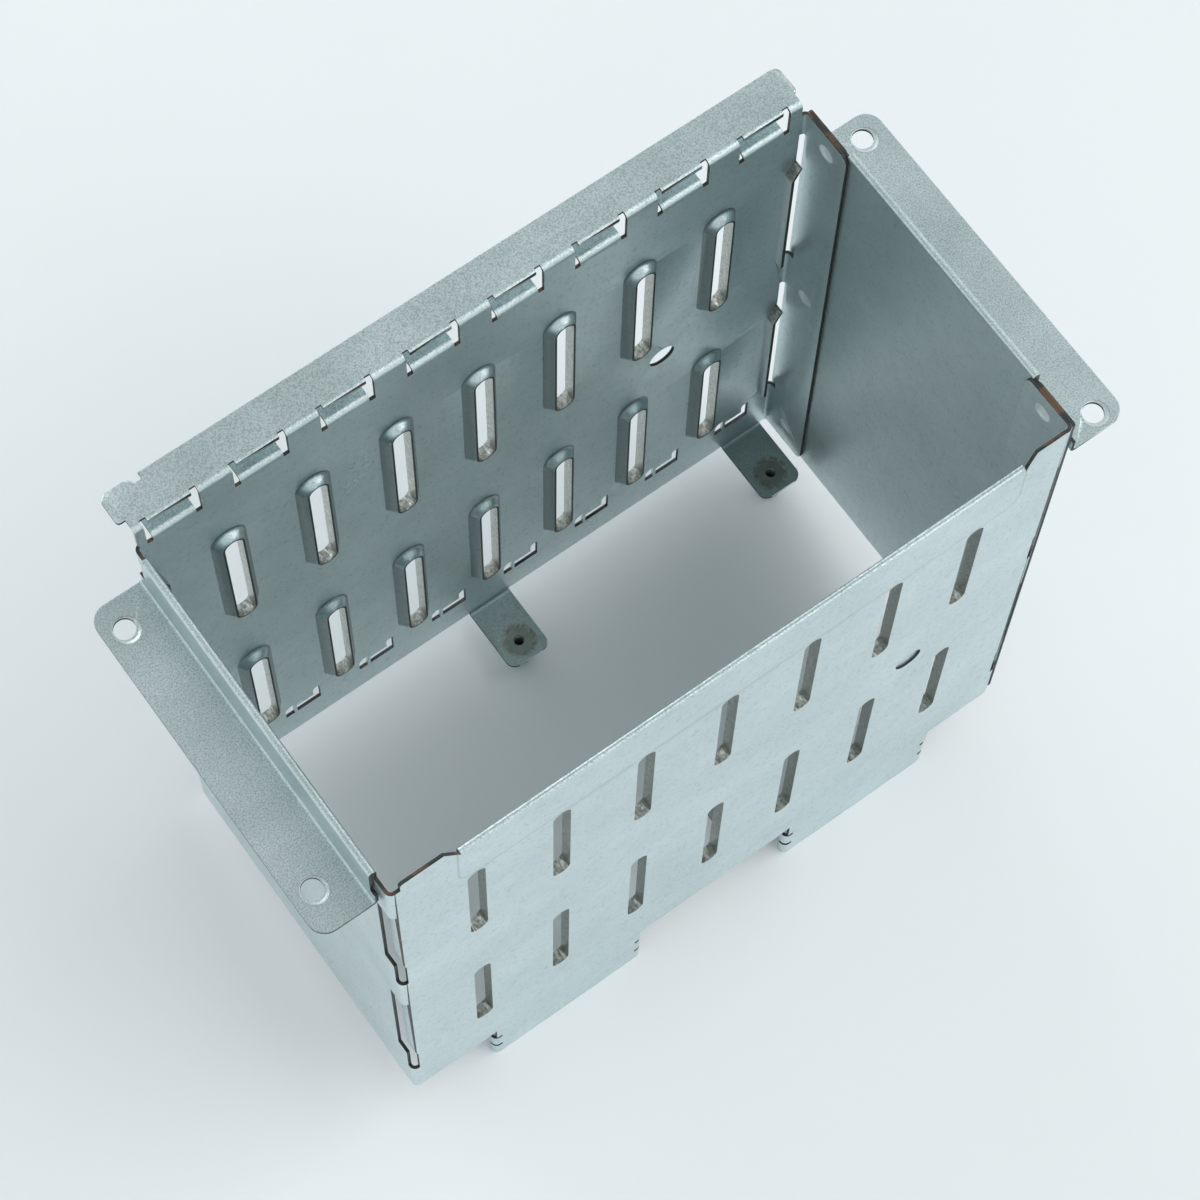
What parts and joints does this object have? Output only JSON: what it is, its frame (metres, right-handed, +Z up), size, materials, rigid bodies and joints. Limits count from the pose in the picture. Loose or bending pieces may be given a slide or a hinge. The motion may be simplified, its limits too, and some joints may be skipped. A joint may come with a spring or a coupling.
{
  "type": "hard drive cage",
  "caption": "Open folded sheet steel cage for hard drives, with slotted long walls, a windowed rail, two mounting ears and threaded standoffs under its feet.",
  "frame": {"origin": "middle of the bounding box, level with the lower edges of the two hanging strips", "axes": "+X along the long slotted walls from the smooth end to the clinched end plate, +Y from the hemmed front wall to the back wall with the rail, +Z up out of the open top"},
  "size_m": [0.2506, 0.1254, 0.2255],
  "materials": {
    "galvanised_sheet": "galvanised sheet steel with a fine spangle",
    "plated_steel": "zinc plated turned steel"
  },
  "bodies": {
    "root": {"cage_shell": "galvanised_sheet", "end_plate": "galvanised_sheet", "foot_standoffs": "plated_steel"}
  },
  "joints": []
}
